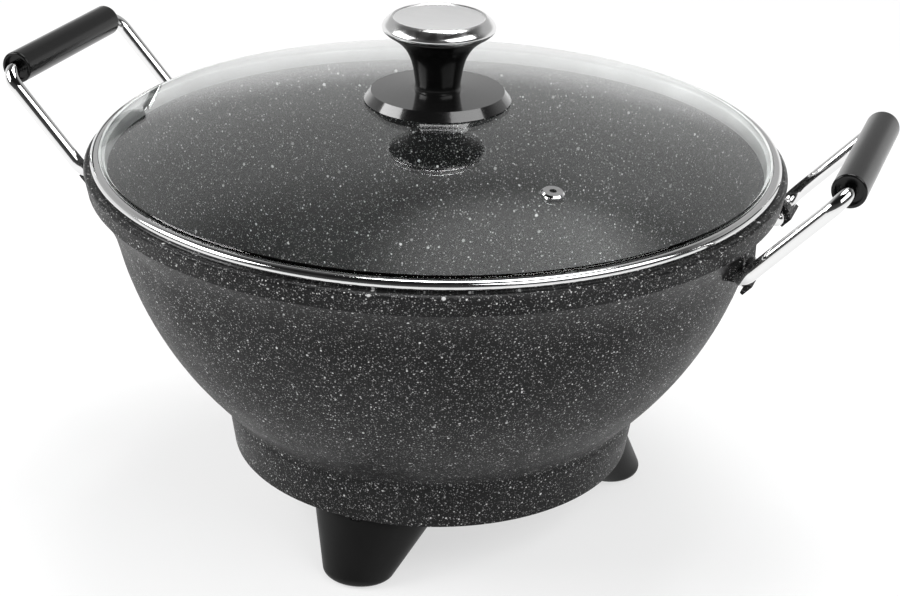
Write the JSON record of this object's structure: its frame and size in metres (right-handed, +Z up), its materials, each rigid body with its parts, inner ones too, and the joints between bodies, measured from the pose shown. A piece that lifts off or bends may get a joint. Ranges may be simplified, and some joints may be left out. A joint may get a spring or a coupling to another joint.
{
  "type": "electric wok",
  "caption": "Electric wok: stone-coated cast bowl on splayed feet, domed glass lid with steel band and knob, swinging wire handles, rear inlet for a plug-in thermostat.",
  "frame": {"origin": "on the bowl's axis, on the surface that the feet stand on", "axes": "+Z up, handles along X, front along -Y, power inlet at the back on +Y"},
  "size_m": [0.4222, 0.3348, 0.2481],
  "materials": {
    "stone_coating": "fine white-speckled stone-effect non-stick coating",
    "lid_glass": "clear tempered glass",
    "polished_steel": "polished stainless steel",
    "satin_steel": "satin stainless steel",
    "chrome_wire": "bright chrome",
    "black_phenolic": "glossy black phenolic",
    "black_plastic": "fine-textured matte black plastic",
    "sheet_steel": "plain pressed sheet steel",
    "zinc_screw": "zinc-plated steel",
    "element_sheath": "oxidised metal sheath",
    "silicone": "matte black silicone"
  },
  "bodies": {
    "base": {"bowl": "stone_coating", "base_ring": "stone_coating", "foot_front": "black_plastic", "foot_right": "black_plastic", "foot_left": "black_plastic", "foot_screws": "zinc_screw", "base_cover": "sheet_steel", "cover_screws": "zinc_screw", "heating_element": "element_sheath", "terminal_pins": "satin_steel", "probe_tube": "satin_steel", "inlet_shroud": "black_plastic"},
    "lid": {"lid_glass": "lid_glass", "lid_band": "polished_steel", "vent_eyelet": "polished_steel", "knob_base": "black_phenolic", "knob_stem": "black_phenolic", "knob_cap": "satin_steel", "knob_screw": "zinc_screw", "knob_washer": "silicone"},
    "handle_left": {"handle_wire_left": "chrome_wire", "grip_left": "black_phenolic"},
    "handle_right": {"handle_wire_right": "chrome_wire", "grip_right": "black_phenolic"}
  },
  "joints": [
    {"name": "lid_lift", "type": "slide", "parent": "base", "child": "lid", "axis": [0, 0, 1], "range_m": [0, 0.26]},
    {"name": "handle_left_swing", "type": "hinge", "parent": "base", "child": "handle_left", "pos_m": [-0.1613, 0, 0.162], "axis": [0, 1, 0], "range_deg": [0, 32]},
    {"name": "handle_right_swing", "type": "hinge", "parent": "base", "child": "handle_right", "pos_m": [0.1613, 0, 0.162], "axis": [0, -1, 0], "range_deg": [0, 32]}
  ]
}
